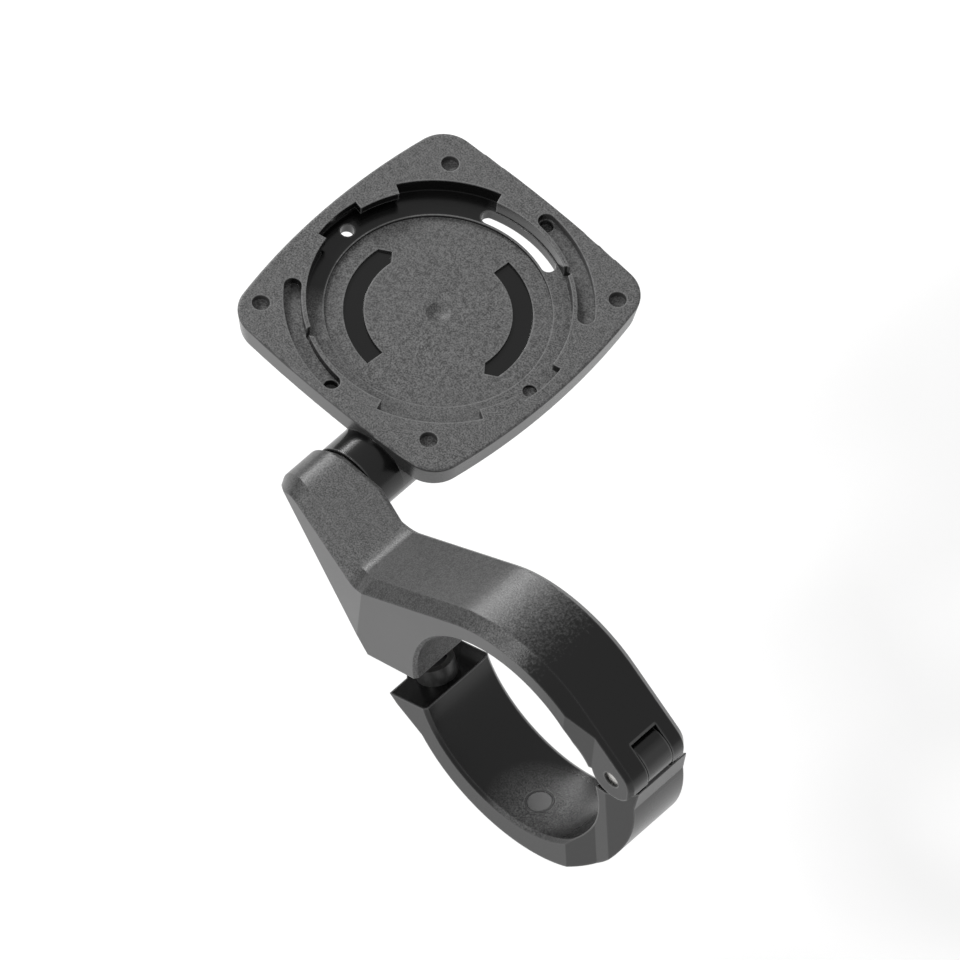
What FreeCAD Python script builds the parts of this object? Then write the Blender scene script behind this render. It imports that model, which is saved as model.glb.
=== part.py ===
import FreeCAD, Part
import Sketcher
import math
import os

# Bike computer mount: a hinged handlebar clamp, an offset arm and a tilting quarter-turn socket plate.
# Frame: origin on the bar axis at mid clamp width, +X to the rider, +Y along the bar, +Z off the plate.

doc = FreeCAD.newDocument("bike_computer_mount")
sheet = doc.addObject("Spreadsheet::Sheet", "dim")

DIMENSIONS = [
    ("bore_radius", 15.9, "bar clamp for a 31.8 mm handlebar"),
    ("clamp_width", 13.0, "along the bar"),
    ("arm_wall", 4.5, "upper clamp half"),
    ("strap_wall", 4.3, "lower clamp half"),
    ("strap_shift", 0.8, "its outside, toward the hinge"),
    ("bore_bevel", 0.5, "lead-in at both bore edges"),
    ("front_bevel_depth", 2.2, "wide bevel on the arm, along the bar"),
    ("front_bevel_drop", 1.4, "wide bevel on the arm, into the top"),
    ("rear_bevel", 0.9, "narrow bevel on the far side"),
    ("valley_x", -29.0, "where the ring's slope meets the level head"),
    ("valley_round", 4.0, ""),
    ("tilt_x", -42.7, "tilt axis"),
    ("tilt_z", -0.8, ""),
    ("head_radius", 6.5, "arm end round the tilt axis"),
    ("head_rear", 8.45, "seat of the tilt joint along Y"),
    ("turn_x", -26.5, "where the near side turns toward the plate"),
    ("far_turn_x", -31.0, "where the far side does"),
    ("near_slant", 0.302, "near side, mm along the bar per mm outward"),
    ("keel_slope", 2.4, "drop of the underside bevel per mm of depth"),
    ("keel_top_x", -41.9, "lower edge of the near side, head end"),
    ("keel_top_z", 0.95, ""),
    ("keel_low_x", -25.9, "lower edge of the near side, lug end"),
    ("keel_low_z", -5.4, ""),
    ("split_x", -17.1, "reference point of the split"),
    ("arm_split_z", -4.5, ""),
    ("arm_split_slope", 20.5, "degrees"),
    ("arm_lug_x", -25.0, "outer end of the upper lug"),
    ("lug_round", 1.0, ""),
    ("split_gap", 0.7, "between the lugs when closed"),
    ("strap_split_slope", 15.5, "degrees, when closed"),
    ("strap_lug_x", -22.0, "outer end of the lower lug"),
    ("strap_lug_edge", 1.3, "slanted end of the lower lug"),
    ("strap_foot_angle", 213.0, "degrees, where the lower lug meets the ring"),
    ("strap_back_angle", 25.0, "degrees, where the back leaves the ring"),
    ("open_angle", 7.8, "degrees, strap let down as it is shipped"),
    ("pin_x", 18.6, "hinge pin axis"),
    ("pin_z", 7.3, ""),
    ("pin_radius", 1.25, ""),
    ("pin_sink", 0.4, "pin ends below the ear faces"),
    ("pin_clearance", 0.05, "running fit in the strap"),
    ("ear_radius", 3.6, ""),
    ("ear_front", -5.1, "outer face of the near ear"),
    ("ear_taper_x", 10.5, "where the near side starts to narrow to the ear"),
    ("strap_corner_x", 17.3, "where the lower half's near side slants to its back"),
    ("strap_corner_slant", 0.48, "mm along the bar per mm outward"),
    ("ear_gap_start", -1.5, "slot for the strap knuckle"),
    ("ear_gap_end", 3.5, ""),
    ("hinge_side_clearance", 0.15, "strap knuckle to ears"),
    ("hinge_swing_clearance", 0.4, "round the ears"),
    ("hinge_drop", 1.0, "upper half ends this far below the pin, beside the ears"),
    ("hinge_gap", 0.3, "between the halves there when closed"),
    ("hinge_back", 21.7, "back of the lower half below the ears"),
    ("hinge_back_drop", 2.8, "top corner of that back below the pin"),
    ("knuckle_slot_radius", 4.5, "slot in the arm for the knuckle"),
    ("thread_radius", 2.0, "M4 screws"),
    ("thread_clearance", 0.05, ""),
    ("press_clearance", 0.01, "driven and bonded pieces"),
    ("screw_head_radius", 3.5, ""),
    ("screw_head_height", 2.8, "low socket head"),
    ("head_clearance", 0.3, "round the bolt and screw heads"),
    ("hex_key", 2.5, "across flats"),
    ("hex_depth", 1.3, ""),
    ("screw_x", -19.1, "clamp screw in the lug when closed"),
    ("screw_boss_radius", 4.3, ""),
    ("screw_boss_length", 5.5, ""),
    ("washer_radius", 3.7, ""),
    ("washer_thickness", 0.8, ""),
    ("collar_radius", 3.0, "retaining collar of the clamp screw"),
    ("collar_height", 2.75, ""),
    ("collar_spigot_radius", 2.7, ""),
    ("collar_spigot_length", 2.0, ""),
    ("collar_pocket_clearance", 0.4, "in the upper lug"),
    ("screw_tip_sink", 0.6, "below the top of the collar"),
    ("insert_radius", 2.8, "threaded insert in the upper lug"),
    ("insert_length", 6.0, ""),
    ("plate_x", -51.4, "socket centre"),
    ("plate_y", 35.75, ""),
    ("plate_top", 6.4, ""),
    ("plate_thickness", 4.2, ""),
    ("plate_half_x", 21.7, "middle of each side"),
    ("plate_half_y", 22.8, ""),
    ("plate_bow_x", 100.0, "bowed sides toward the clamp and away from it"),
    ("plate_bow_y", 220.0, "the other two"),
    ("plate_corner_radius", 5.0, ""),
    ("plate_draft", 0.5, "sides lean in to the underside by this"),
    ("plate_edge", 0.35, "broken edges"),
    ("knuckle_radius", 5.75, "plate knuckle on the tilt axis"),
    ("knuckle_length", 13.0, ""),
    ("friction_thickness", 0.4, "friction washer in the tilt joint"),
    ("friction_radius", 5.2, ""),
    ("friction_clearance", 0.05, "washer to knuckle"),
    ("tilt_thread_radius", 1.5, "M3 tilt bolt"),
    ("tilt_head_radius", 2.75, ""),
    ("tilt_head_height", 2.4, ""),
    ("tilt_key", 2.0, "across flats"),
    ("tilt_head_sink", 0.2, "below the knuckle end"),
    ("nut_flats", 5.5, "M3 nut"),
    ("nut_height", 2.4, ""),
    ("nut_sink", 0.2, "below the seat of the tilt joint"),
    ("nut_pocket_clearance", 0.03, ""),
    ("bolt_overrun", 0.5, "past the nut"),
    ("lip_radius", 18.4, "socket mouth"),
    ("entry_radius", 20.0, "entry notches and groove"),
    ("floor_depth", 2.4, "ledge round the disc"),
    ("disc_radius", 15.8, "sunk disc"),
    ("disc_step", 0.5, "below the ledge"),
    ("lip_thickness", 1.4, ""),
    ("entry_start", 107.5, "degrees from +X"),
    ("entry_span", 43.0, "degrees"),
    ("ramp_start", -29.5, "degrees"),
    ("ramp_span", 44.0, "degrees"),
    ("slit_inner", 16.1, "open slit at the foot of the wall"),
    ("slit_outer", 18.25, ""),
    ("slit_start", 71.0, "degrees"),
    ("slit_span", 38.0, "degrees"),
    ("gate_radius", 19.7, "small notch in the lip"),
    ("gate_start", -11.0, "degrees"),
    ("gate_span", 22.0, "degrees"),
    ("gate_hole_radius", 1.0, ""),
    ("gate_hole_reach", 17.9, "from the centre"),
    ("gate_hole_angle", -2.3, "degrees"),
    ("gate_blind_depth", 0.6, "of the blind one, below the ledge"),
    ("detent_radius", 0.8, "click notch"),
    ("detent_angle", 61.0, "degrees"),
    ("relief_inner", 19.05, "slot behind the springy wall"),
    ("relief_outer", 21.5, ""),
    ("relief_start", 38.0, "degrees"),
    ("relief_span", 48.0, "degrees"),
    ("relief_depth", 1.3, ""),
    ("relief_hole_radius", 1.05, ""),
    ("dimple_radius", 1.25, ""),
    ("dimple_depth", 1.0, ""),
    ("dimple_long", 17.1, "dimples on one diagonal"),
    ("dimple_short", 14.5, "dimples on the other"),
    ("dimple_side", 17.7, ""),
    ("arrow_inner", 10.3, "turn arrows on the disc"),
    ("arrow_outer", 13.1, ""),
    ("arrow_start", -8.0, "degrees"),
    ("arrow_span", 93.0, "degrees"),
    ("arrow_head", 6.0, "degrees, pointed end"),
    ("arrow_depth", 0.4, ""),
    ("pip_radius", 1.7, "centre dimple"),
    ("pip_depth", 0.7, ""),
]
for row, (alias, size, note) in enumerate(DIMENSIONS, start=1):
    sheet.set(f"A{row}", alias)
    sheet.set(f"B{row}", str(size))
    sheet.set(f"C{row}", note)
    sheet.setAlias(f"B{row}", alias)
doc.recompute()


def size(alias):
    return float(getattr(sheet, alias))


UPRIGHT = FreeCAD.Rotation()
ALONG_Y = FreeCAD.Rotation(FreeCAD.Vector(1, 0, 0), -90)
SIDE_VIEW = FreeCAD.Rotation(FreeCAD.Vector(1, 0, 0), 90)
WIDTH = "dim.clamp_width"
NEAR_SIDE = "-dim.clamp_width / 2"
FAR_SIDE = "dim.clamp_width / 2"
ORIGIN = ("0", "0")
PIN = ("dim.pin_x", "dim.pin_z")
TILT = ("dim.tilt_x", "dim.tilt_z")
ARM_RING = "dim.bore_radius + dim.arm_wall"
STRAP_RING = "dim.bore_radius + dim.strap_wall"
SCREW_HOLE = "dim.thread_radius + dim.thread_clearance"
BOLT_HOLE = "dim.tilt_thread_radius + dim.thread_clearance"
KNUCKLE_FACE = "dim.head_rear + dim.friction_thickness + dim.friction_clearance"
KNUCKLE_END = KNUCKLE_FACE + " + dim.knuckle_length"
BOLT_SEAT = KNUCKLE_END + " - dim.tilt_head_height - dim.tilt_head_sink"
NUT_START = "dim.head_rear - dim.nut_height - dim.nut_sink"
BOLT_END = NUT_START + " - dim.bolt_overrun"
BEYOND = 60.0
OVERCUT = 1.0
SAME_PLACE = 0.01


# Building blocks

def move(solid, place):
    for axis, formula in zip("xyz", place):
        solid.setExpression("Placement.Base." + axis, formula)


def primitive(kind, name, place, turn, **formulas):
    solid = doc.addObject(kind, name)
    solid.Placement = FreeCAD.Placement(FreeCAD.Vector(), turn)
    for value, formula in formulas.items():
        solid.setExpression(value, formula)
    if place:
        move(solid, place)
    return solid


def cylinder(name, radius, height, place=None, turn=UPRIGHT):
    return primitive("Part::Cylinder", name, place, turn, Radius=radius, Height=height)


def cone(name, radius, end_radius, height, place, turn=UPRIGHT):
    return primitive("Part::Cone", name, place, turn, Radius1=radius, Radius2=end_radius, Height=height)


def hexagon(name, flats, height, place=None, turn=UPRIGHT):
    corner = f"({flats}) / 2 / cos(30 deg)"
    solid = primitive("Part::Prism", name, place, turn, Circumradius=corner, Height=height)
    solid.Polygon = 6
    return solid


def prism(name, corners, depth=WIDTH, place=("0", NEAR_SIDE, "0"), turn=SIDE_VIEW, toward=(0, 1, 0)):
    """A straight-sided outline, each corner held by two dimensions, drawn out along one axis."""
    sketch = doc.addObject("Sketcher::SketchObject", name + "_outline")
    sketch.Placement = FreeCAD.Placement(FreeCAD.Vector(), turn)
    count = len(corners)
    loose = [FreeCAD.Vector(k, k * k, 0) for k in range(count)]
    for k in range(count):
        sketch.addGeometry(Part.LineSegment(loose[k], loose[(k + 1) % count]), False)
    for k, (across, up) in enumerate(corners):
        sketch.addConstraint(Sketcher.Constraint("Coincident", k, 2, (k + 1) % count, 1))
        for kind, formula in (("DistanceX", across), ("DistanceY", up)):
            index = sketch.addConstraint(Sketcher.Constraint(kind, -1, 1, k, 1, 1.0))
            sketch.setExpression(f"Constraints[{index}]", formula)
    move(sketch, place)
    solid = doc.addObject("Part::Extrusion", name)
    solid.Base = sketch
    solid.DirMode = "Custom"
    solid.Dir = FreeCAD.Vector(*toward)
    solid.setExpression("LengthFwd", depth)
    solid.Solid = True
    return solid


def fuse(name, *solids):
    joined = doc.addObject("Part::MultiFuse", name)
    joined.Shapes = list(solids)
    joined.Refine = True
    return joined


def cut(name, base, *tools):
    result = doc.addObject("Part::Cut", name)
    result.Base = base
    result.Tool = tools[0] if len(tools) == 1 else fuse(name + "_tools", *tools)
    result.Refine = True
    return result


def edges_where(solid, wanted):
    """Numbers of the edges whose middle passes the test."""
    doc.recompute()
    found = []
    for number, edge in enumerate(solid.Shape.Edges, start=1):
        middle = edge.valueAt((edge.FirstParameter + edge.LastParameter) / 2)
        if wanted(edge, middle):
            found.append(number)
    if not found:
        raise RuntimeError("no edge found on " + solid.Name)
    return found


def dressed(kind, name, base, edges, first, second=None):
    """A Part::Fillet or Part::Chamfer of one size, or two, on the numbered edges."""
    feature = doc.addObject(kind, name)
    feature.Base = base
    feature.Edges = [(number, first, second or first) for number in edges]
    return feature


def near(first, second):
    return abs(first - second) < SAME_PLACE


def runs_along_y(edge):
    if edge.Curve.TypeId != "Part::GeomLine":
        return False
    return near(abs(edge.tangentAt(edge.FirstParameter).y), 1)


def on_circle(radius, angle, centre=ORIGIN):
    """Two formulas for a point on a circle, the angle in degrees from the first axis."""
    across = f"{centre[0]} + ({radius}) * cos(({angle}) * 1 deg)"
    along = f"{centre[1]} + ({radius}) * sin(({angle}) * 1 deg)"
    return across, along


def tangent_angle(radius, centre, point, side):
    """Degrees from a circle's centre to where a line through a point touches it, on one side or the other."""
    across = f"({point[0]} - ({centre[0]}))"
    along = f"({point[1]} - ({centre[1]}))"
    return f"(atan2({along}; {across}) {side} acos(({radius}) / hypot({across}; {along}))) / 1 deg"


def on_pin(name, radius, start, end):
    return cylinder(name, radius, f"{end} - ({start})", ("dim.pin_x", start, "dim.pin_z"), ALONG_Y)


def on_tilt(name, radius, start, length):
    return cylinder(name, radius, length, ("dim.tilt_x", start, "dim.tilt_z"), ALONG_Y)


def bar_bore(name):
    """The bar's bore with a lead-in at both edges, as one cutting solid."""
    wide = "dim.bore_radius + dim.bore_bevel"
    bore = cylinder(name + "_round", "dim.bore_radius", WIDTH, ("0", NEAR_SIDE, "0"), ALONG_Y)
    near_lead = cone(name + "_near", wide, "dim.bore_radius", "dim.bore_bevel",
                     ("0", NEAR_SIDE, "0"), ALONG_Y)
    far_lead = cone(name + "_far", "dim.bore_radius", wide, "dim.bore_bevel",
                    ("0", FAR_SIDE + " - dim.bore_bevel", "0"), ALONG_Y)
    return fuse(name, bore, near_lead, far_lead)


# The split between the two clamp halves, drawn closed

def arm_split(across):
    return f"dim.arm_split_z + (({across}) - dim.split_x) * tan(dim.arm_split_slope * 1 deg)"


def strap_split(across):
    rise = f"(({across}) - dim.split_x) * tan(dim.strap_split_slope * 1 deg)"
    return f"dim.arm_split_z - dim.split_gap + {rise}"


def on_screw(solid, start):
    """Stand a solid on the clamp screw's axis, its base this far above the closed lower lug face."""
    slope = size("strap_split_slope")
    rise = (size("screw_x") - size("split_x")) * math.tan(math.radians(slope))
    foot = FreeCAD.Vector(size("screw_x"), 0, size("arm_split_z") - size("split_gap") + rise)
    frame = FreeCAD.Placement(foot, FreeCAD.Rotation(FreeCAD.Vector(0, 1, 0), -slope))
    solid.Placement = frame.multiply(FreeCAD.Placement(FreeCAD.Vector(0, 0, start), UPRIGHT))
    return solid


def let_down(solid):
    """Swing a finished lower piece from closed to the open angle about the hinge pin."""
    centre = FreeCAD.Vector(size("pin_x"), 0, size("pin_z"))
    swing = FreeCAD.Rotation(FreeCAD.Vector(0, -1, 0), size("open_angle"))
    solid.Placement = FreeCAD.Placement(FreeCAD.Vector(), swing, centre).multiply(solid.Placement)
    return solid


# Upper clamp half, arm and head, one moulding

HEAD = "dim.head_radius"
HEAD_WIDTH = f"dim.head_rear - ({NEAR_SIDE})"
HEAD_TOP = f"dim.tilt_z + {HEAD}"
VALLEY = ("dim.valley_x", HEAD_TOP)
LUG_CORNER = ("dim.arm_lug_x", arm_split("dim.arm_lug_x"))


def plan_prism(name, corners):
    """A tall cutter from an outline seen from above."""
    return prism(name, corners, f"2 * {BEYOND}", ("0", "0", f"-{BEYOND}"), UPRIGHT, (0, 0, 1))


def arm_turn():
    """What is cut away beside the arm, where it narrows and turns toward the plate."""
    seat_edge = "dim.tilt_x + dim.knuckle_radius + dim.hinge_swing_clearance"
    near_tip = f"{NEAR_SIDE} + (dim.turn_x + {BEYOND}) * dim.near_slant"
    near_side = plan_prism("arm_near_turn", [("dim.turn_x", NEAR_SIDE), (f"-{BEYOND}", near_tip),
                                             (f"-{BEYOND}", f"-{BEYOND}"), ("dim.turn_x", f"-{BEYOND}")])
    far_side = plan_prism("arm_far_turn", [(seat_edge, "dim.head_rear"), ("dim.far_turn_x", FAR_SIDE),
                                           (f"{BEYOND}", FAR_SIDE), (f"{BEYOND}", f"{BEYOND}"),
                                           (seat_edge, f"{BEYOND}")])
    return near_side, far_side


def arm_outline():
    """Everything below the upper outline, with the ring, the head and the ears round."""
    ring = cylinder("arm_ring", ARM_RING, WIDTH, ("0", NEAR_SIDE, "0"), ALONG_Y)
    head = on_tilt("arm_head", HEAD, NEAR_SIDE, HEAD_WIDTH)
    ear = on_pin("arm_ear", "dim.ear_radius", NEAR_SIDE, FAR_SIDE)
    runout = tangent_angle(f"{ARM_RING} - dim.ear_radius", ORIGIN, PIN, "+")
    fill = prism("arm_fill", [(f"dim.tilt_x - {HEAD}", "dim.tilt_z"),
                              (f"dim.tilt_x - {HEAD}", f"-{BEYOND}"),
                              ("dim.pin_x + dim.ear_radius", f"-{BEYOND}"),
                              ("dim.pin_x + dim.ear_radius", "dim.pin_z"),
                              PIN,
                              on_circle("dim.ear_radius", runout, PIN),
                              on_circle(ARM_RING, runout),
                              on_circle(ARM_RING, tangent_angle(ARM_RING, ORIGIN, VALLEY, "-")),
                              VALLEY,
                              ("dim.tilt_x", HEAD_TOP),
                              TILT], HEAD_WIDTH)
    return cut("arm_outline", fuse("arm_blank", ring, head, ear, fill), *arm_turn())


def arm_underside():
    """What is cut away below the head, the lug and the hinge ears."""
    hinge_end = "dim.pin_z - dim.hinge_drop"
    below = prism("arm_below", [(f"-{BEYOND}", "dim.tilt_z"),
                                TILT,
                                on_circle(HEAD, tangent_angle(HEAD, TILT, LUG_CORNER, "-"), TILT),
                                LUG_CORNER,
                                ("0", arm_split("0")),
                                ("dim.bore_radius / 2", hinge_end),
                                (f"{BEYOND}", hinge_end),
                                (f"{BEYOND}", f"-2 * {BEYOND}"),
                                (f"-{BEYOND}", f"-2 * {BEYOND}")],
                  HEAD_WIDTH)
    kept_head = on_tilt("arm_kept_head", HEAD, NEAR_SIDE, HEAD_WIDTH)
    kept_ear = on_pin("arm_kept_ear", "dim.ear_radius", NEAR_SIDE, FAR_SIDE)
    return cut("arm_underside", below, kept_head, kept_ear)


def edge_at(solid, across, up):
    return edges_where(solid, lambda e, m: runs_along_y(e) and near(m.x, across) and near(m.z, up))


def on_top(point):
    """Above the hinge pin on the ring, above the tilt axis on the head."""
    return point.z > size("pin_z" if point.x > size("turn_x") else "tilt_z")


def near_side_at(across):
    """Where the arm's near side lies along the bar, this far across."""
    return max(size("turn_x") - across, 0) * size("near_slant") - size("clamp_width") / 2


def arm_dressed():
    """The arm with its upper edges bevelled and its valley and lug corner rounded."""
    outline = arm_outline()
    valley = edge_at(outline, size("valley_x"), size("tilt_z") + size("head_radius"))
    eased = dressed("Part::Fillet", "arm_valley", outline, valley, size("valley_round"))
    side = size("clamp_width") / 2
    far = edges_where(eased, lambda e, m: on_top(m) and m.y > side - SAME_PLACE)
    eased = dressed("Part::Chamfer", "arm_far_bevel", eased, far, size("rear_bevel"))
    front = edges_where(eased, lambda e, m: on_top(m) and near(m.y, near_side_at(m.x)))
    eased = dressed("Part::Chamfer", "arm_front_bevel", eased, front,
                    size("front_bevel_depth"), size("front_bevel_drop"))
    trimmed = cut("arm_trimmed", eased, arm_underside())
    drop = (size("arm_lug_x") - size("split_x")) * math.tan(math.radians(size("arm_split_slope")))
    corner = edge_at(trimmed, size("arm_lug_x"), size("arm_split_z") + drop)
    return dressed("Part::Fillet", "arm_lug_round", trimmed, corner, size("lug_round"))


def keel_cutter():
    """Block whose upper face bevels the underside away from the lower edge of the near side."""
    ends = []
    for end in ("keel_top", "keel_low"):
        across = size(end + "_x")
        ends.append(FreeCAD.Vector(across, near_side_at(across), size(end + "_z")))
    start, end = ends
    along = (end - start).normalize()
    outward = FreeCAD.Vector(0, 1, -size("keel_slope")).cross(along).normalize()
    across = outward.cross(along)
    block = doc.addObject("Part::Box", "arm_keel")
    block.Length = (end - start).Length + BEYOND
    block.Width = 2 * BEYOND
    block.Height = BEYOND
    corner = start - along * (BEYOND / 2) - across * BEYOND
    block.Placement = FreeCAD.Placement(corner, FreeCAD.Rotation(along, across, outward, "ZXY"))
    return block


def build_arm():
    slot = on_pin("arm_slot", "dim.knuckle_slot_radius", "dim.ear_gap_start", "dim.ear_gap_end")
    ear_face = plan_prism("arm_ear_face", [("dim.ear_taper_x", NEAR_SIDE),
                                           ("dim.pin_x - dim.ear_radius", "dim.ear_front"),
                                           (f"{BEYOND}", "dim.ear_front"),
                                           (f"{BEYOND}", f"-{BEYOND}"),
                                           ("dim.ear_taper_x", f"-{BEYOND}")])
    pin_hole = on_pin("arm_pin_hole", "dim.pin_radius + dim.press_clearance", NEAR_SIDE, FAR_SIDE)
    bolt_hole = on_tilt("arm_bolt_hole", BOLT_HOLE, BOLT_END + " - dim.head_clearance",
                        "dim.nut_height + dim.nut_sink + dim.bolt_overrun + dim.head_clearance")
    nut_pocket = hexagon("arm_nut_pocket", "dim.nut_flats + 2 * dim.nut_pocket_clearance",
                         "dim.nut_height + dim.nut_sink", ("dim.tilt_x", NUT_START, "dim.tilt_z"), ALONG_Y)
    pocket_top = size("collar_height") + size("collar_pocket_clearance")
    pocket = on_screw(cylinder("arm_pocket", "dim.collar_radius + dim.collar_pocket_clearance",
                               "2 * (dim.collar_height + dim.collar_pocket_clearance)"), -pocket_top)
    insert_hole = on_screw(cylinder("arm_insert_hole", "dim.insert_radius + dim.press_clearance",
                                    "dim.insert_length"), pocket_top)
    tip_hole = on_screw(cylinder("arm_tip_hole", "dim.thread_radius + dim.head_clearance",
                                 "dim.insert_length + dim.thread_radius"), pocket_top)
    return cut("mount_arm", arm_dressed(), bar_bore("arm_bore"), slot, ear_face, pin_hole, bolt_hole,
               nut_pocket, pocket, insert_hole, tip_hole, keel_cutter())


# Lower clamp half

def strap_body():
    ring = cylinder("strap_ring", STRAP_RING, WIDTH, ("dim.strap_shift", NEAR_SIDE, "0"), ALONG_Y)
    hinge_end = "dim.pin_z - dim.hinge_drop - dim.hinge_gap"
    above = prism("strap_above", [(f"-{BEYOND}", strap_split(f"-{BEYOND}")), ("0", strap_split("0")),
                                  ("dim.bore_radius / 2", hinge_end), (f"{BEYOND}", hinge_end),
                                  (f"{BEYOND}", f"{BEYOND}"), (f"-{BEYOND}", f"{BEYOND}")])
    lug_inner = "-dim.bore_radius + 3 * dim.bore_bevel"
    lug_end = "dim.strap_lug_x"
    foot = "dim.strap_foot_angle"
    lug_face = strap_split(lug_end)
    lug = prism("strap_lug", [(lug_inner, strap_split(lug_inner)),
                              (lug_end, lug_face),
                              (f"{lug_end} + dim.strap_lug_edge", f"{lug_face} - dim.strap_lug_edge"),
                              on_circle(STRAP_RING, foot, ("dim.strap_shift", "0")),
                              on_circle("dim.bore_radius + dim.bore_bevel", foot)])
    back = prism("strap_back", [on_circle(STRAP_RING, "-dim.strap_back_angle", ("dim.strap_shift", "0")),
                                ("dim.hinge_back", "dim.pin_z - dim.hinge_back_drop"),
                                PIN,
                                on_circle("dim.bore_radius + dim.bore_bevel", "-dim.strap_back_angle / 2")])
    boss = on_screw(cylinder("strap_boss", "dim.screw_boss_radius", "dim.screw_boss_length"),
                    -size("screw_boss_length"))
    lower_ring = cut("strap_lower_ring", ring, above)
    back_end = cut("strap_back_end", back, trim_back())
    return fuse("strap_body", lower_ring, lug, back_end, boss)


def trim_back():
    """What stands above the back's top corner, up to the pin."""
    top = "dim.pin_z - dim.hinge_drop - dim.hinge_gap"
    return prism("strap_back_trim", [("0", top), (f"{BEYOND}", top),
                                     (f"{BEYOND}", f"{BEYOND}"), ("0", f"{BEYOND}")])


def ear_room(name, start, end):
    """Swing room round one ear, with no thin tip left between it and the bore."""
    clear = "dim.ear_radius + dim.hinge_swing_clearance"
    low = f"dim.pin_z - ({clear})"
    tip = prism(name + "_tip", [("0", low), ("dim.pin_x", low), PIN, ("0", "dim.pin_z")],
                f"{end} - ({start})", ("0", start, "0"))
    return fuse(name, on_pin(name + "_round", clear, start, end), tip)


def build_strap():
    knuckle_start = "dim.ear_gap_start + dim.hinge_side_clearance"
    knuckle_end = "dim.ear_gap_end - dim.hinge_side_clearance"
    near_room = ear_room("strap_near_room", NEAR_SIDE, knuckle_start)
    far_room = ear_room("strap_far_room", knuckle_end, FAR_SIDE)
    trimmed = cut("strap_trimmed", strap_body(), near_room, far_room, bar_bore("strap_bore"))
    knuckle = on_pin("strap_knuckle", "dim.ear_radius", knuckle_start, knuckle_end)
    pin_hole = on_pin("strap_pin_hole", "dim.pin_radius + dim.pin_clearance", NEAR_SIDE, FAR_SIDE)
    screw_hole = on_screw(cylinder("strap_screw_hole", SCREW_HOLE, f"dim.screw_boss_length + 2 * {OVERCUT}"),
                          -size("screw_boss_length") - OVERCUT)
    spigot_hole = on_screw(cylinder("strap_spigot_hole", "dim.collar_spigot_radius + dim.press_clearance",
                                    f"dim.collar_spigot_length + {OVERCUT}"), -size("collar_spigot_length"))
    head_room = on_screw(cylinder("strap_head_room", "dim.washer_radius + dim.head_clearance", f"{BEYOND}"),
                         -size("screw_boss_length") - BEYOND)
    slant_end = f"dim.ear_front + ({BEYOND} - dim.strap_corner_x) * dim.strap_corner_slant"
    near_face = plan_prism("strap_near_face", [("dim.ear_taper_x", NEAR_SIDE),
                                               ("dim.pin_x - dim.ear_radius", "dim.ear_front"),
                                               ("dim.strap_corner_x", "dim.ear_front"),
                                               (f"{BEYOND}", slant_end),
                                               (f"{BEYOND}", f"-{BEYOND}"),
                                               ("dim.ear_taper_x", f"-{BEYOND}")])
    hinged = fuse("strap_hinged", trimmed, knuckle)
    return let_down(cut("clamp_strap", hinged, pin_hole, screw_hole, spigot_hole, head_room, near_face))


# Hinge pin and clamp screw

def build_pin():
    return on_pin("hinge_pin", "dim.pin_radius", "dim.ear_front + dim.pin_sink", FAR_SIDE + " - dim.pin_sink")


def build_clamp_screw():
    seat = size("screw_boss_length") + size("washer_thickness")
    crown = seat + size("screw_head_height")
    reach = "dim.screw_boss_length + dim.washer_thickness + dim.collar_height - dim.screw_tip_sink"
    shank = on_screw(cylinder("clamp_screw_shank", "dim.thread_radius", reach), -seat)
    head = on_screw(cylinder("clamp_screw_head", "dim.screw_head_radius", "dim.screw_head_height"), -crown)
    key = on_screw(hexagon("clamp_screw_key", "dim.hex_key", "dim.hex_depth"), -crown)
    return let_down(cut("clamp_screw", fuse("clamp_screw_blank", shank, head), key))


def build_screw_washer():
    seat = size("screw_boss_length") + size("washer_thickness")
    disc = on_screw(cylinder("screw_washer_disc", "dim.washer_radius", "dim.washer_thickness"), -seat)
    hole = on_screw(cylinder("screw_washer_hole", SCREW_HOLE, "dim.washer_thickness"), -seat)
    return let_down(cut("screw_washer", disc, hole))


def build_screw_collar():
    depth = "dim.collar_spigot_length"
    start = -size("collar_spigot_length")
    sleeve = on_screw(cylinder("collar_sleeve", "dim.collar_radius", "dim.collar_height"), 0)
    spigot = on_screw(cylinder("collar_spigot", "dim.collar_spigot_radius", depth), start)
    hole = on_screw(cylinder("collar_hole", SCREW_HOLE, f"dim.collar_height + {depth}"), start)
    return let_down(cut("screw_collar", fuse("collar_blank", sleeve, spigot), hole))


def build_insert():
    start = size("collar_height") + size("collar_pocket_clearance")
    sleeve = on_screw(cylinder("insert_sleeve", "dim.insert_radius", "dim.insert_length"), start)
    hole = on_screw(cylinder("insert_hole", SCREW_HOLE, "dim.insert_length"), start)
    return cut("clamp_insert", sleeve, hole)


# Socket plate with its tilt knuckle, one moulding

def at_plate(depth, across="0", along="0"):
    return f"dim.plate_x + ({across})", f"dim.plate_y + ({along})", f"dim.plate_top - ({depth})"


def sector(name, radius, depth, start, span, top="0", inner=None):
    """A slice of a disc sunk below the plate top, hollow if it has an inner radius."""
    piece = cylinder(name, radius, depth, at_plate(f"{top} + {depth}"))
    piece.setExpression("Angle", span)
    piece.Placement.Rotation = FreeCAD.Rotation(FreeCAD.Vector(0, 0, 1), start)
    if not inner:
        return piece
    core = cylinder(name + "_core", inner, f"{depth} + 2 * {OVERCUT}",
                    at_plate(f"{top} + {depth} + {OVERCUT}"))
    return cut(name + "_ring", piece, core)


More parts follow.
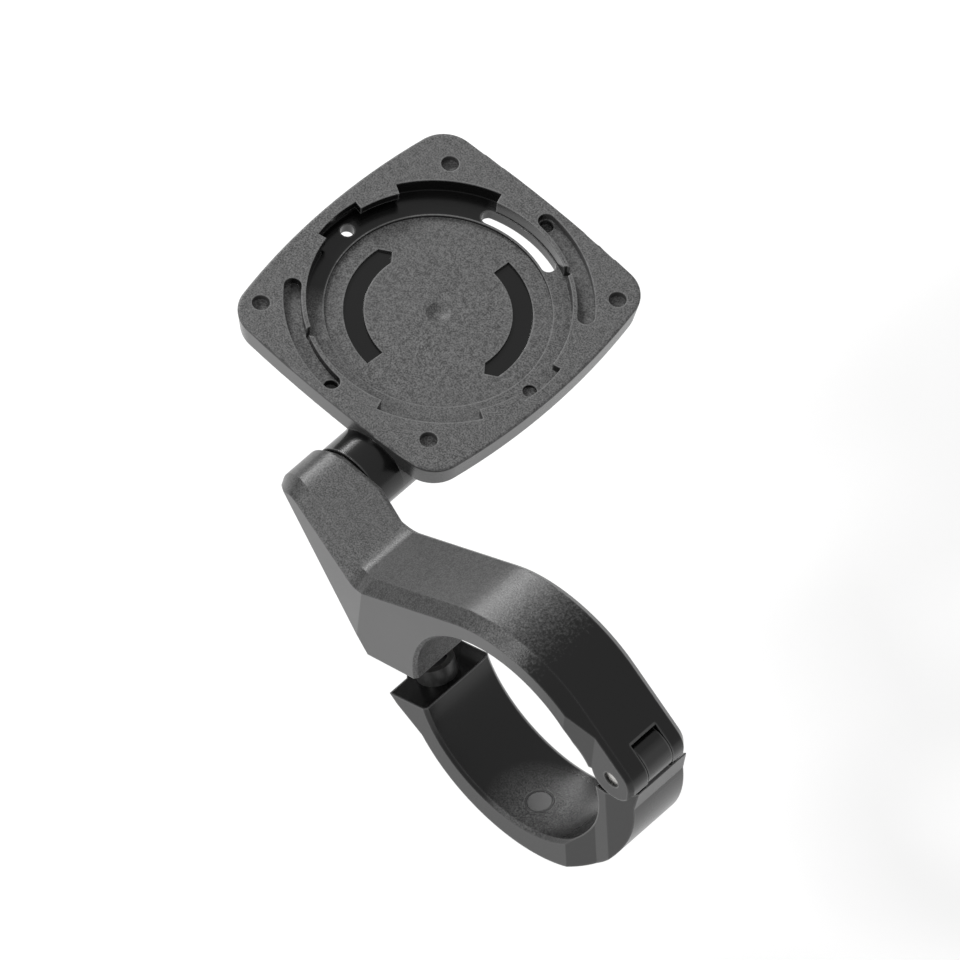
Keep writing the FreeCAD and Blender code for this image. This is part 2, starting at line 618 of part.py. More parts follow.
def arc_slot(name, turn, depth, top="0"):
    """A curved slot with round ends; its radii, start and span are the cells with its name."""
    inner = f"dim.{name}_inner"
    outer = f"dim.{name}_outer"
    start = f"dim.{name}_start + {turn}"
    label = f"{name}_{turn}"
    pieces = [sector(label, outer, depth, size(name + "_start") + turn, f"dim.{name}_span", top, inner)]
    for end, angle in (("first", start), ("last", f"{start} + dim.{name}_span")):
        spot = on_circle(f"({inner} + {outer}) / 2", angle)
        pieces.append(cylinder(f"{label}_{end}", f"({outer} - {inner}) / 2", depth,
                               at_plate(f"{top} + {depth}", *spot)))
    return pieces


def arrow(name, turn):
    """A sunk arc on the disc with a pointed end."""
    top = "dim.floor_depth + dim.disc_step - dim.arrow_depth"
    depth = "2 * dim.arrow_depth"
    arc = sector(name, "dim.arrow_outer", depth, size("arrow_start") + turn, "dim.arrow_span",
                 top, "dim.arrow_inner")
    base = f"dim.arrow_start + {turn}"
    tip = on_circle("(dim.arrow_inner + dim.arrow_outer) / 2", f"{base} - dim.arrow_head")
    corners = [tip, on_circle("dim.arrow_inner", base), on_circle("dim.arrow_outer", base)]
    point = prism(name + "_point", corners, depth, at_plate(f"{top} + {depth}"), UPRIGHT, (0, 0, 1))
    return [arc, point]


def socket_half(half):
    """The cuts that come twice, half a turn apart; the slit and the open gate hole come once."""
    turn = 180 * half
    sign = "-" if half else ""
    other = "" if half else "-"
    tools = [
        sector(f"entry_{half}", "dim.entry_radius", "dim.floor_depth",
               size("entry_start") + turn, "dim.entry_span"),
        sector(f"ramp_{half}", "dim.entry_radius", "dim.floor_depth - dim.lip_thickness",
               size("ramp_start") + turn, "dim.ramp_span", "dim.lip_thickness"),
        sector(f"gate_{half}", "dim.gate_radius", "dim.floor_depth",
               size("gate_start") + turn, "dim.gate_span"),
    ]
    tools += arc_slot("relief", turn, "dim.relief_depth")
    tools += arrow(f"arrow_{half}", turn)
    hole = on_circle("dim.gate_hole_reach", f"dim.gate_hole_angle + {turn}")
    gate_depth = f"dim.plate_thickness + {OVERCUT}" if half else "dim.floor_depth + dim.gate_blind_depth"
    tools.append(cylinder(f"gate_hole_{half}", "dim.gate_hole_radius", gate_depth,
                          at_plate(gate_depth, *hole)))
    click = on_circle("dim.lip_radius", f"dim.detent_angle + {turn}")
    tools.append(cylinder(f"detent_{half}", "dim.detent_radius", "dim.floor_depth",
                          at_plate("dim.floor_depth", *click)))
    blind = on_circle("(dim.relief_inner + dim.relief_outer) / 2",
                      f"dim.relief_start + dim.relief_span + {turn}")
    tools.append(cylinder(f"relief_hole_{half}", "dim.relief_hole_radius", "dim.floor_depth",
                          at_plate("dim.floor_depth", *blind)))
    for word, across in (("long", f"{sign}dim.dimple_long"), ("short", f"{other}dim.dimple_short")):
        tools.append(cylinder(f"dimple_{word}_{half}", "dim.dimple_radius", "dim.dimple_depth",
                              at_plate("dim.dimple_depth", across, f"{sign}dim.dimple_side")))
    return tools


def plate_blank():
    """Four large leaning arcs make the bowed sides; the corners are rounded and the rims broken."""
    sides = []
    for sign in ("", "-"):
        for axis in ("x", "y"):
            bow = f"dim.plate_bow_{axis}"
            shift = f"{sign}({bow} - dim.plate_half_{axis})"
            spot = (shift, "0") if axis == "x" else ("0", shift)
            sides.append(cone(f"plate_side_{axis}", f"{bow} - dim.plate_draft", bow, "dim.plate_thickness",
                              at_plate("dim.plate_thickness", *spot)))
    bowed = doc.addObject("Part::MultiCommon", "plate_bowed")
    bowed.Shapes = sides
    rise = size("plate_thickness") / 2
    corners = edges_where(bowed, lambda e, m: abs(e.Vertexes[0].Z - e.Vertexes[-1].Z) > rise)
    rounded = dressed("Part::Fillet", "plate_rounded", bowed, corners, size("plate_corner_radius"))
    rims = edges_where(rounded, lambda e, m: abs(e.Vertexes[0].Z - e.Vertexes[-1].Z) < rise)
    eased = dressed("Part::Fillet", "plate_eased", rounded, rims, size("plate_edge"))
    knuckle = on_tilt("plate_knuckle", "dim.knuckle_radius", KNUCKLE_FACE, "dim.knuckle_length")
    return fuse("plate_blank", eased, knuckle)


def build_plate():
    mouth = cylinder("plate_mouth", "dim.lip_radius", "dim.floor_depth", at_plate("dim.floor_depth"))
    disc_floor = "dim.floor_depth + dim.disc_step"
    disc = cylinder("plate_disc", "dim.disc_radius", disc_floor, at_plate(disc_floor))
    pip = cone("plate_pip", "dim.pip_radius / 3", "dim.pip_radius", "dim.pip_depth",
               at_plate(f"{disc_floor} + dim.pip_depth"))
    slit = arc_slot("slit", 0, f"dim.plate_thickness - dim.lip_thickness + {OVERCUT}", "dim.lip_thickness")
    bolt_hole = on_tilt("plate_bolt_hole", BOLT_HOLE, "dim.head_rear", f"dim.knuckle_length + {OVERCUT}")
    head_room = on_tilt("plate_head_room", "dim.tilt_head_radius + dim.head_clearance", BOLT_SEAT,
                        f"dim.tilt_head_height + dim.tilt_head_sink + {OVERCUT}")
    return cut("socket_plate", plate_blank(), *socket_half(0), *socket_half(1), *slit,
               mouth, disc, pip, bolt_hole, head_room)


# Tilt joint hardware

def build_friction_washer():
    disc = on_tilt("friction_disc", "dim.friction_radius", "dim.head_rear", "dim.friction_thickness")
    hole = on_tilt("friction_hole", BOLT_HOLE, "dim.head_rear", "dim.friction_thickness")
    return cut("friction_washer", disc, hole)


def build_tilt_bolt():
    crown = f"{BOLT_SEAT} + dim.tilt_head_height"
    head = on_tilt("tilt_bolt_head", "dim.tilt_head_radius", BOLT_SEAT, "dim.tilt_head_height")
    shank = on_tilt("tilt_bolt_shank", "dim.tilt_thread_radius", BOLT_END, f"{BOLT_SEAT} - ({BOLT_END})")
    key = hexagon("tilt_bolt_key", "dim.tilt_key", "dim.hex_depth",
                  ("dim.tilt_x", f"{crown} - dim.hex_depth", "dim.tilt_z"), ALONG_Y)
    return cut("tilt_bolt", fuse("tilt_bolt_blank", head, shank), key)


def build_tilt_nut():
    body = hexagon("tilt_nut_body", "dim.nut_flats", "dim.nut_height",
                   ("dim.tilt_x", NUT_START, "dim.tilt_z"), ALONG_Y)
    hole = on_tilt("tilt_nut_hole", BOLT_HOLE, NUT_START, "dim.nut_height")
    return cut("tilt_nut", body, hole)


SUB_PARTS = {
    "mount_arm": build_arm,
    "clamp_strap": build_strap,
    "hinge_pin": build_pin,
    "clamp_screw": build_clamp_screw,
    "screw_washer": build_screw_washer,
    "screw_collar": build_screw_collar,
    "clamp_insert": build_insert,
    "socket_plate": build_plate,
    "friction_washer": build_friction_washer,
    "tilt_bolt": build_tilt_bolt,
    "tilt_nut": build_tilt_nut,
}
nodes = {}
for label, build in SUB_PARTS.items():
    nodes[label] = build()
    nodes[label].Label = label
doc.recompute()

for item in doc.Objects:
    if "Invalid" in item.State or "Error" in item.State:
        raise RuntimeError(item.Name + " failed to build")
for label, node in nodes.items():
    if node.Shape.isNull() or not node.Shape.isValid():
        raise RuntimeError(label + " has no valid shape")
    if len(node.Shape.Solids) != 1:
        raise RuntimeError(f"{label} has {len(node.Shape.Solids)} solids")

os.makedirs("parts", exist_ok=True)
for label, node in nodes.items():
    node.Shape.exportStep(f"parts/{label}.step")
    print(f"{label}: {node.Shape.Volume:.1f} mm3")
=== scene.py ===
import math
import bmesh
import bpy
from mathutils import Matrix, Vector


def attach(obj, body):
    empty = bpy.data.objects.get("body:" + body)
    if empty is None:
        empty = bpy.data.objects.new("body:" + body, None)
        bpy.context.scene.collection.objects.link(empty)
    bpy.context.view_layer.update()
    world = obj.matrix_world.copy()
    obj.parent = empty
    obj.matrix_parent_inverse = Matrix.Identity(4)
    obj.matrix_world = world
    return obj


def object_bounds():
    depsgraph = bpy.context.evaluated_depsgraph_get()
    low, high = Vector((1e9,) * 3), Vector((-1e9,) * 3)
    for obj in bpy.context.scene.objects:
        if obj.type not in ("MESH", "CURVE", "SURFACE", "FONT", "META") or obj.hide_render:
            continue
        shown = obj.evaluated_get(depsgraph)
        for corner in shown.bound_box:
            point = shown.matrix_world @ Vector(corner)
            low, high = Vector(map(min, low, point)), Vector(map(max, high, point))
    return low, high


# Looks of a bike computer mount: grained black mouldings, steel, brass and a small mould mark.
# Named lengths are in millimetres, and times MM where Blender takes metres.
# Only the lamps and the floor are placed in metres.

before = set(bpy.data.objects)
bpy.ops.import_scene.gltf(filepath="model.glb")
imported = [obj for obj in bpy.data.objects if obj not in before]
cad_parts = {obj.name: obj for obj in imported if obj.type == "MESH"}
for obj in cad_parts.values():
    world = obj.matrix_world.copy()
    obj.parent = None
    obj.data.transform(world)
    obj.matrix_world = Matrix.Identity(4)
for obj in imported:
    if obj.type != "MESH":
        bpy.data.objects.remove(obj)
cad_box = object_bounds()
scene = bpy.context.scene
MM = 0.001

# Where things are, repeated from the solids

PLATE_CENTRE = (-51.4, 35.75)
SOCKET_EDGE = 20.5
DISC_EDGE = 15.9
CHANNEL_TOP = 5.3
ARROW_FLOOR = 3.1
ARROW_RADII = (10.0, 13.4)
TILT_AXIS = (-42.7, -0.8)
KNUCKLE_RADIUS = 5.75
KNUCKLE_END = 13.7
STRAP_BORE_CENTRE = (1.16, -2.457)
BORE_RADIUS = 15.9

# The mould mark inside the strap

MARK_ANGLE = math.radians(282.0)
MARK_ALONG = -1.7
MARK_OUTWARD = Vector((math.cos(MARK_ANGLE), 0, math.sin(MARK_ANGLE)))
MARK_CENTRE = Vector((STRAP_BORE_CENTRE[0], MARK_ALONG, STRAP_BORE_CENTRE[1])) + BORE_RADIUS * MARK_OUTWARD
MARK_ROOT = -0.3
MARK_BEVEL = 0.08
RIM_RADII = (1.8, 2.08)
RIM_HEIGHT = 0.18
RIM_BEVEL_DROP = 0.04
FACE_RADII = (0.02, 1.78)
FACE_HEIGHT = 0.12
RING_STEPS = 48


# Node trees in short calls

class Recipe:
    """One material and its node tree."""

    def __init__(self, name):
        self.material = bpy.data.materials.new(name)
        self.material.use_nodes = True
        self.tree = self.material.node_tree
        self.shader = self.tree.nodes["Principled BSDF"]
        self.place = self.add("TexCoord").outputs

    def add(self, kind, inputs=None, **settings):
        made = self.tree.nodes.new("ShaderNode" + kind)
        for key, value in settings.items():
            setattr(made, key, value)
        for key, value in (inputs or {}).items():
            self.feed(made.inputs[key], value)
        return made

    def feed(self, socket, value):
        if isinstance(value, bpy.types.NodeSocket):
            self.tree.links.new(value, socket)
        else:
            socket.default_value = value

    def math(self, operation, first, second=0.0):
        return self.add("Math", {0: first, 1: second}, operation=operation).outputs[0]

    def plus(self, first, second):
        return self.math("ADD", first, second)

    def times(self, first, *others):
        product = first
        for factor in others:
            product = self.math("MULTIPLY", product, factor)
        return product

    def rest(self, share):
        """What a share leaves of 1."""
        return self.math("SUBTRACT", 1.0, share)

    def noise(self, scale, detail=2.0, roughness=0.55):
        inputs = {"Vector": self.place["Object"], "Scale": scale, "Detail": detail, "Roughness": roughness}
        return self.add("TexNoise", inputs).outputs["Fac"]

    def blend(self, factor, first, second):
        mixed = self.add("Mix", {0: factor}, data_type="RGBA")
        self.feed(mixed.inputs[6], first)
        self.feed(mixed.inputs[7], second)
        return mixed.outputs[2]

    def spot(self, axis):
        """The place on the part along an axis, in metres."""
        return self.add("SeparateXYZ", {0: self.place["Object"]}).outputs[axis]

    def facing(self, axis):
        """How far a face looks along an axis, from -1 to 1."""
        return self.add("SeparateXYZ", {0: self.place["Normal"]}).outputs[axis]

    def offset(self, axis, middle):
        """Metres along an axis from a place given in millimetres."""
        return self.math("SUBTRACT", self.spot(axis), middle * MM)

    def distance(self, axes, centre):
        """Metres from a line along the axis that is left out, through a point given in millimetres."""
        squares = []
        for axis, middle in zip(axes, centre):
            along = self.offset(axis, middle)
            squares.append(self.times(along, along))
        return self.math("SQRT", self.plus(*squares))

    def span(self, value, band, result=(0.0, 1.0)):
        """A value carried from one range to another, held at the ends."""
        inputs = {"Value": value, "From Min": band[0], "From Max": band[1]}
        inputs["To Min"] = result[0]
        inputs["To Max"] = result[1]
        return self.add("MapRange", inputs, clamp=True).outputs["Result"]

    def zone(self, length, start, end):
        """0 on the start's side and 1 on the end's side, both given in millimetres."""
        return self.span(length, (start * MM, end * MM))

    def beyond(self, length, limit):
        return self.zone(length, limit, limit + CRISP)

    def short_of(self, length, limit):
        return self.zone(length, limit, limit - CRISP)

    def soft_edge(self, radius):
        return self.add("Bevel", {"Radius": radius * MM}, samples=4).outputs["Normal"]

    def outer_edge(self, reach):
        """1 on outer edges, 0 further in than the reach: short rays into the solid meet the next face."""
        clear = self.add("AmbientOcclusion", {"Distance": reach * MM}, inside=True, samples=6).outputs["AO"]
        return self.span(clear, (0.95, 0.6))

    def bump(self, height, strength, depth, normal):
        inputs = {"Height": height, "Strength": strength, "Distance": depth * MM, "Normal": normal}
        return self.add("Bump", inputs).outputs["Normal"]

    def finish(self, **inputs):
        for key, value in inputs.items():
            name = "IOR" if key == "ior" else key.replace("_", " ").title()
            self.feed(self.shader.inputs[name], value)
        return self.material


def grey(level):
    return (level, level, level, 1.0)


# Where the finishes and the painted light and shade of the mouldings start and end: lengths, then shares of
# a face's direction

CRISP = 0.1
# The arm's grain fade along X is partly painted shade on the ring's far side.
ARM_GRAIN_INTO_SHADE = (7.0, -6.0)
ARM_SATIN = (8.0, -4.0)
STRAP_INSIDE = (BORE_RADIUS + 1.6, BORE_RADIUS + 0.6)
# Painted light: the strap's grained, lighter pool round the mould mark.
LIT_PATCH_CENTRE = (MARK_CENTRE.x + 1.2, MARK_CENTRE.y - 0.8)
LIT_PATCH_FADE = (8.5, 2.5)
ARROW_STEP = 0.25
SOCKET_WALL = 0.5
# Painted shadow: the channel's far half on the side of the left lamp, under the socket wall there.
CHANNEL_SHADOW_MIDDLE = math.radians(162.0)
CHANNEL_SHADOW_FADE = (0.45, 0.65)
FLAT_SIDE = (0.8, 0.95)
# Painted shade: the arm's faces that slope towards -X keep less grain and render darker.
SLOPING_SHADE_BAND = (-0.5, -0.1)
SLOPING_SHADE_GRAIN = (0.38, 0.9)
# Painted light: the lighter satin goes only on the strap's faces that look towards +X.
LIT_BACK_FACE = (0.3, 0.6)
LOOKING_UP = (0.3, 0.6)
LEVEL_FLOOR = (0.5, 0.9)
UPRIGHT = (0.6, 0.3)
STRAP_LIT_SATIN = 0.4
PLATE_SATIN = 0.6


def flat_side(recipe):
    """1 on the faces that look along the bar."""
    return recipe.span(recipe.math("ABSOLUTE", recipe.facing("Y")), FLAT_SIDE)


def arm_finish(recipe):
    """Grained from the head to just past the crest of the ring, satin on the flat sides of the head. Past
    the crest the grain thins into smooth black, partly a smoother finish and partly painted shade on the
    side away from the light; faces that slope towards -X keep less grain, painted shade that darkens them.
    """
    along = recipe.spot("X")
    side = flat_side(recipe)
    ragged = recipe.span(recipe.noise(2600.0), (0.25, 0.75), (-0.2, 0.2))
    # Partly painted shade: the grain thins into smooth black past the crest of the ring.
    thinning_into_shade = recipe.plus(recipe.zone(along, *ARM_GRAIN_INTO_SHADE), ragged)
    # Painted shade: faces that slope towards -X keep less grain, so they render darker.
    sloping_shade = recipe.span(recipe.facing("X"), SLOPING_SHADE_BAND, SLOPING_SHADE_GRAIN)
    grained = recipe.times(recipe.span(thinning_into_shade, (0.2, 0.9)), sloping_shade, recipe.rest(side))
    return grained, recipe.times(side, recipe.zone(along, *ARM_SATIN))


def strap_finish(recipe):
    """Smooth, but for a grained patch that fades out round the mould mark, partly real grain and partly a
    painted pool of light, and a satin back on the faces that look towards +X, painted light.
    """
    # Painted light: the grain and its lighter tone are kept to a pool round the mould mark.
    lit_patch = recipe.zone(recipe.distance("XY", LIT_PATCH_CENTRE), *LIT_PATCH_FADE)
    inside = recipe.zone(recipe.distance("XZ", STRAP_BORE_CENTRE), *STRAP_INSIDE)
    grained = recipe.times(lit_patch, inside, recipe.rest(flat_side(recipe)))
    # Painted light: only the outer faces that look towards +X get the lighter satin.
    lit_back_face = recipe.span(recipe.facing("X"), LIT_BACK_FACE)
    return grained, recipe.times(lit_back_face, STRAP_LIT_SATIN, recipe.rest(inside))


def sunk_arrows(recipe, height, radius):
    """1 on the floors of the two arrows."""
    low = recipe.short_of(height, ARROW_FLOOR + ARROW_STEP)
    outside = recipe.beyond(radius, ARROW_RADII[0])
    inside = recipe.short_of(radius, ARROW_RADII[1])
    return recipe.times(low, outside, inside, recipe.span(recipe.facing("Z"), LEVEL_FLOOR))


def shadowed_channel(recipe, height, radius):
    """1 in the far half of the channel that the tabs turn in, which is made smooth black as a painted shadow
    of the socket wall.
    """
    # Painted shadow: the half on the side of the left lamp, where the socket wall there shades the floor.
    across = recipe.times(recipe.offset("X", PLATE_CENTRE[0]), math.cos(CHANNEL_SHADOW_MIDDLE))
    along = recipe.times(recipe.offset("Y", PLATE_CENTRE[1]), math.sin(CHANNEL_SHADOW_MIDDLE))
    shadowed_half = recipe.span(recipe.math("DIVIDE", recipe.plus(across, along), radius), CHANNEL_SHADOW_FADE)
    outside_disc = recipe.beyond(radius, DISC_EDGE)
    in_socket = recipe.short_of(radius, SOCKET_EDGE + CRISP)
    return recipe.times(shadowed_half, outside_disc, in_socket, recipe.short_of(height, CHANNEL_TOP))


def knuckle(recipe):
    """1 on the round end of the plate that turns on the tilt axis."""
    from_axis = recipe.distance("XZ", TILT_AXIS)
    round_part = recipe.zone(from_axis, KNUCKLE_RADIUS + CRISP, KNUCKLE_RADIUS + CRISP / 2)
    return recipe.times(round_part, recipe.short_of(recipe.spot("Y"), KNUCKLE_END))


def plate_finish(recipe):
    """Grained on top, with smooth arrows and knuckle, and satin outer sides; the socket walls and the far
    half of the channel are smooth black as painted shade.
    """
    height = recipe.spot("Z")
    radius = recipe.distance("XY", PLATE_CENTRE)
    facing = recipe.facing("Z")
    on_plate = recipe.rest(knuckle(recipe))
    arrows = sunk_arrows(recipe, height, radius)
    smooth_and_shadowed = recipe.math("MAXIMUM", arrows, shadowed_channel(recipe, height, radius))
    grained = recipe.times(on_plate, recipe.span(facing, LOOKING_UP), recipe.rest(smooth_and_shadowed))
    upright = recipe.span(recipe.math("ABSOLUTE", facing), UPRIGHT)
    # Painted shade: inside the socket the upright walls get no satin and stay smooth black.
    outside = recipe.zone(radius, SOCKET_EDGE, SOCKET_EDGE + SOCKET_WALL)
    return grained, recipe.times(on_plate, upright, outside, PLATE_SATIN)


def satin_finish(recipe):
    return 0.0, 1.0


def smooth_finish(recipe):
    return 0.0, 0.0


# Materials

GRAIN_DARK = 0.03
GRAIN_LIGHT = 0.19
SATIN_TONE = 0.1
SMOOTH_TONE = 0.004
# Tone of the lighter outer edges: partly wear, partly a painted edge highlight.
EDGE_WEAR_AND_HIGHLIGHT_TONE = 0.26
FINE_GRAIN = 4200.0
COARSE_GRAIN = 1100.0
FINE_SHARE = 0.8
GRAIN_BAND = (0.38, 0.64)
GRAIN_DEPTH = 0.05
CLOUDS = 70.0
CLOUDING = 0.35
EDGE_ROUND = 0.22
EDGE_REACH = 0.3
# How much of the lighter edge tone shows: partly wear, partly a painted edge highlight.
EDGE_WEAR_AND_HIGHLIGHT_SHARE = (0.25, 0.6)
SMOOTH_ROUGHNESS = (0.18, 0.24)
GRAIN_ROUGHNESS = 0.3
SATIN_ROUGHNESS = 0.12
SMOOTH_RELIEF = 0.08
PLASTIC_IOR = 1.5
TOOL_MARKS = 2500.0
STAINS = 400.0
STAIN_DULLING = 0.72
SWIRLS = 900.0


def moulding(name, finish):
    """Black plastic with a spark-eroded grain, satin sides and smooth places, lighter in patches along its
    outer edges, partly wear and partly a painted edge highlight.
    """
    recipe = Recipe(name)
    grained, satin = finish(recipe)
    grained = recipe.times(grained, recipe.rest(satin))
    fine = recipe.times(recipe.noise(FINE_GRAIN, roughness=0.6), FINE_SHARE)
    coarse = recipe.times(recipe.noise(COARSE_GRAIN, detail=1.0), 1.0 - FINE_SHARE)
    grain = recipe.plus(fine, coarse)
    cloud = recipe.noise(CLOUDS, detail=3.0)
    speckle = recipe.blend(recipe.span(grain, GRAIN_BAND), grey(GRAIN_DARK), grey(GRAIN_LIGHT))
    even = grey(0.5 * (GRAIN_DARK + GRAIN_LIGHT))
    patchy = recipe.blend(recipe.span(cloud, (0.3, 0.75), (0.0, CLOUDING)), speckle, even)
    plain = recipe.blend(satin, grey(SMOOTH_TONE), grey(SATIN_TONE))
    tone = recipe.blend(grained, plain, patchy)
    # Outer edges lighter in patches: partly wear, partly a painted edge highlight.
    edge_wear_and_highlight = recipe.times(recipe.outer_edge(EDGE_REACH), recipe.span(cloud, (0.35, 0.65), EDGE_WEAR_AND_HIGHLIGHT_SHARE))
    tone = recipe.blend(edge_wear_and_highlight, tone, grey(EDGE_WEAR_AND_HIGHLIGHT_TONE))
    added_rough = recipe.plus(recipe.times(grained, GRAIN_ROUGHNESS), recipe.times(satin, SATIN_ROUGHNESS))
    rough = recipe.plus(recipe.span(cloud, (0.3, 0.7), SMOOTH_ROUGHNESS), added_rough)
    relief = recipe.span(grained, (0.0, 1.0), (SMOOTH_RELIEF, 1.0))
    normal = recipe.bump(grain, relief, GRAIN_DEPTH, recipe.soft_edge(EDGE_ROUND))
    return recipe.finish(base_color=tone, roughness=rough, normal=normal, ior=PLASTIC_IOR)


def turned_metal(name, colour, roughness):
    """Metal with fine tool marks, a little stained."""
    recipe = Recipe(name)
    marks = recipe.noise(TOOL_MARKS, detail=1.0)
    stain = recipe.noise(STAINS, detail=3.0)
    dull = [STAIN_DULLING * level for level in colour]
    tone = recipe.blend(recipe.span(stain, (0.35, 0.7)), (*colour, 1.0), (*dull, 1.0))
    rough = recipe.span(marks, (0.3, 0.7), (roughness - 0.07, roughness + 0.08))
    normal = recipe.bump(marks, 0.35, 0.01, recipe.soft_edge(0.08))
    return recipe.finish(base_color=tone, roughness=rough, normal=normal, metallic=1.0)


def slick_plastic(name):
    """Smooth dark plastic with faint swirls."""
    recipe = Recipe(name)
    swirl = recipe.noise(SWIRLS)
    tone = recipe.blend(recipe.span(swirl, (0.35, 0.65)), grey(0.03), grey(0.05))
    rough = recipe.span(swirl, (0.3, 0.7), (0.3, 0.42))
    normal = recipe.bump(swirl, 0.2, 0.01, recipe.soft_edge(0.1))
    return recipe.finish(base_color=tone, roughness=rough, normal=normal, ior=PLASTIC_IOR)


PLASTIC_ARM = moulding("moulded_arm", arm_finish)
PLASTIC_STRAP = moulding("moulded_strap", strap_finish)
PLASTIC_PLATE = moulding("moulded_plate", plate_finish)
PLASTIC_SATIN = moulding("moulded_satin", satin_finish)
PLASTIC_SMOOTH = moulding("moulded_smooth", smooth_finish)
STEEL = turned_metal("turned_steel", (0.62, 0.61, 0.59), 0.34)
DARK_STEEL = turned_metal("black_steel", (0.05, 0.05, 0.052), 0.42)
BRASS = turned_metal("turned_brass", (0.62, 0.47, 0.22), 0.33)
SLICK = slick_plastic("slick_plastic")

LOOKS = {
    "mount_arm": PLASTIC_ARM,
    "clamp_strap": PLASTIC_STRAP,
    "socket_plate": PLASTIC_PLATE,
    "hinge_pin": STEEL,
    "clamp_screw": DARK_STEEL,
    "screw_washer": STEEL,
    "screw_collar": SLICK,
    "clamp_insert": BRASS,
    "friction_washer": SLICK,
    "tilt_bolt": DARK_STEEL,
    "tilt_nut": STEEL,
}
for node, look in LOOKS.items():
    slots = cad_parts[node].data.materials
    slots.clear()
    slots.append(look)


# Small pieces

def piece(name, mesh, material, body):
    made = bpy.data.objects.new(name, mesh)
    scene.collection.objects.link(made)
    made.data.materials.append(material)
    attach(made, body)


def turned(name, profile, around):
    """A closed ring-shaped mesh: a profile of radius and height, turned about an axis frame."""
    shape = bmesh.new()
    rings = []
    for step in range(RING_STEPS):
        angle = 2 * math.pi * step / RING_STEPS
        ring = []
        for radius, height in profile:
            corner = Vector((radius * math.cos(angle), radius * math.sin(angle), height)) * MM
            ring.append(shape.verts.new(around @ corner))
        rings.append(ring)
    for step, here in enumerate(rings):
        after = rings[(step + 1) % RING_STEPS]
        for first in range(len(profile)):
            second = (first + 1) % len(profile)
            shape.faces.new((here[first], after[first], after[second], here[second]))
    bmesh.ops.recalc_face_normals(shape, faces=shape.faces)
    mesh = bpy.data.meshes.new(name)
    shape.to_mesh(mesh)
    shape.free()
    return mesh


def on_axis(point, axis):
    """A frame whose Z runs along an axis through a point in millimetres."""
    turn = Vector((0, 0, 1)).rotation_difference(axis).to_matrix().to_4x4()
    return Matrix.Translation(Vector(point) * MM) @ turn


def rim_profile():
    inner, outer = RIM_RADII
    shoulder = RIM_HEIGHT - RIM_BEVEL_DROP
    return [
        (inner, MARK_ROOT),
        (inner, shoulder),
        (inner + MARK_BEVEL, RIM_HEIGHT),
        (outer - MARK_BEVEL, RIM_HEIGHT),
        (outer, shoulder),
        (outer, MARK_ROOT),
    ]


def face_profile():
    inner, outer = FACE_RADII
    return [
        (inner, MARK_ROOT),
        (inner, FACE_HEIGHT),
        (outer - MARK_BEVEL, FACE_HEIGHT),
        (outer, FACE_HEIGHT - MARK_BEVEL),
        (outer, MARK_ROOT),
    ]


def mould_mark():
    """The plain round ejector mark inside the strap, a low rim round a bare face; the rim is smooth black,
    painted shade for the dark line round the mark.
    """
    inward = on_axis(MARK_CENTRE, -MARK_OUTWARD)
    # Painted shade: the rim is smooth black, standing in for the dark shadow line round the mark.
    rim = turned("rim", rim_profile(), inward)
    piece("mould_mark_shaded_rim", rim, PLASTIC_SMOOTH, "strap")
    face = turned("face", face_profile(), inward)
    piece("mould_mark_face", face, PLASTIC_SATIN, "strap")


mould_mark()


# Stage, light and camera

AZIMUTH = math.radians(37.443)
ELEVATION = math.radians(56.728)
ROLL = math.radians(6.618)
VIEW_WIDTH = 130.95
DISTANCE = 3333.0
FRAME_OFFSET = (-7.216, 30.6)
LAMP_AIM = Vector((-0.02, 0.015, 0.0))
FLOOR_DROP = 0.05
FLOOR_HALF = 3.0
FLOOR_GLOW = 0.25
WORLD_STRENGTH = 0.48

back = Vector((math.sin(AZIMUTH) * math.cos(ELEVATION), -math.cos(AZIMUTH) * math.cos(ELEVATION),
               math.sin(ELEVATION)))
level = Vector((math.cos(AZIMUTH), math.sin(AZIMUTH), 0))
upward = back.cross(level)
right = math.cos(ROLL) * level + math.sin(ROLL) * upward
up = math.cos(ROLL) * upward - math.sin(ROLL) * level


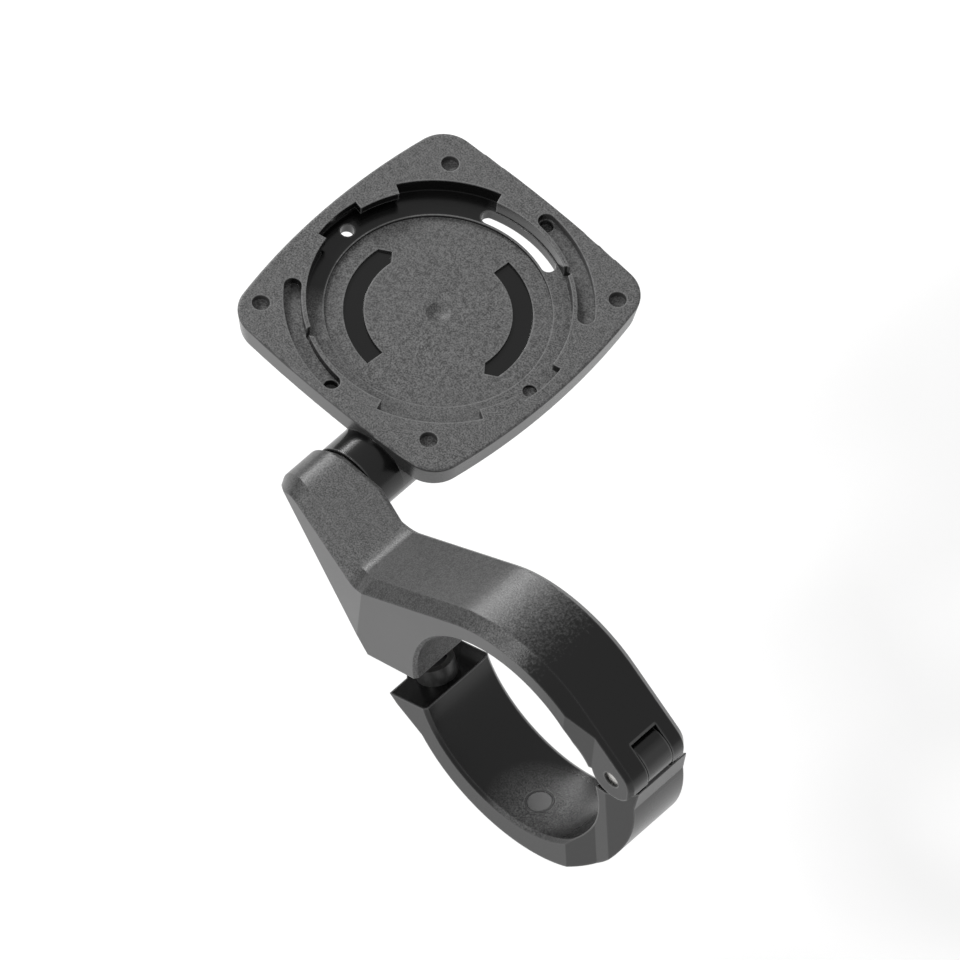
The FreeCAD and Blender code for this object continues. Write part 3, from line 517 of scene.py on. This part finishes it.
def add_camera():
    data = bpy.data.cameras.new("camera")
    data.sensor_fit = "HORIZONTAL"
    data.angle = 2 * math.atan(VIEW_WIDTH / 2 / DISTANCE)
    data.clip_start = 0.01
    data.clip_end = 20.0
    camera = bpy.data.objects.new("camera", data)
    scene.collection.objects.link(camera)
    place = (FRAME_OFFSET[0] * right + FRAME_OFFSET[1] * up + DISTANCE * back) * MM
    turn = Matrix((right, up, back)).transposed().to_4x4()
    camera.matrix_world = Matrix.Translation(place) @ turn
    scene.camera = camera


def add_softbox(name, place, size, power):
    data = bpy.data.lights.new(name, "AREA")
    data.shape = "SQUARE"
    data.size = size
    data.energy = power
    lamp = bpy.data.objects.new(name, data)
    scene.collection.objects.link(lamp)
    lamp.location = place
    lamp.rotation_euler = (LAMP_AIM - Vector(place)).to_track_quat("-Z", "Y").to_euler()


def seen_directly(recipe):
    """1 for the camera and for mirror and glass rays, 0 for light that falls on the object."""
    path = recipe.add("LightPath").outputs
    either = recipe.math("MAXIMUM", path["Is Camera Ray"], path["Is Glossy Ray"])
    return recipe.math("MAXIMUM", either, path["Is Transmission Ray"])


def pale_floor():
    """White that glows a little where it is seen, so that it fades into the background."""
    recipe = Recipe("pale_floor")
    recipe.feed(recipe.shader.inputs["Emission Color"], grey(1.0))
    recipe.feed(recipe.shader.inputs["Emission Strength"], recipe.times(seen_directly(recipe), FLOOR_GLOW))
    return recipe.finish(base_color=grey(0.9), roughness=0.9)


def add_floor():
    lowest = cad_box[0].z - FLOOR_DROP
    half = FLOOR_HALF
    mesh = bpy.data.meshes.new("floor")
    corners = [(-half, -half, lowest), (half, -half, lowest), (half, half, lowest), (-half, half, lowest)]
    mesh.from_pydata(corners, [], [(0, 1, 2, 3)])
    floor = bpy.data.objects.new("floor", mesh)
    scene.collection.objects.link(floor)
    mesh.materials.append(pale_floor())


def light_world():
    world = bpy.data.worlds.new("studio")
    world.use_nodes = True
    scene.world = world
    backdrop = world.node_tree.nodes["Background"]
    backdrop.inputs["Color"].default_value = grey(1.0)
    backdrop.inputs["Strength"].default_value = WORLD_STRENGTH


add_camera()
add_floor()
light_world()
add_softbox("left", place=(-0.83, 0.27, 0.5), size=0.25, power=5.6)
add_softbox("left_front", place=(-0.35, -0.7, 0.65), size=0.15, power=2.4)
scene.view_settings.view_transform = "Standard"
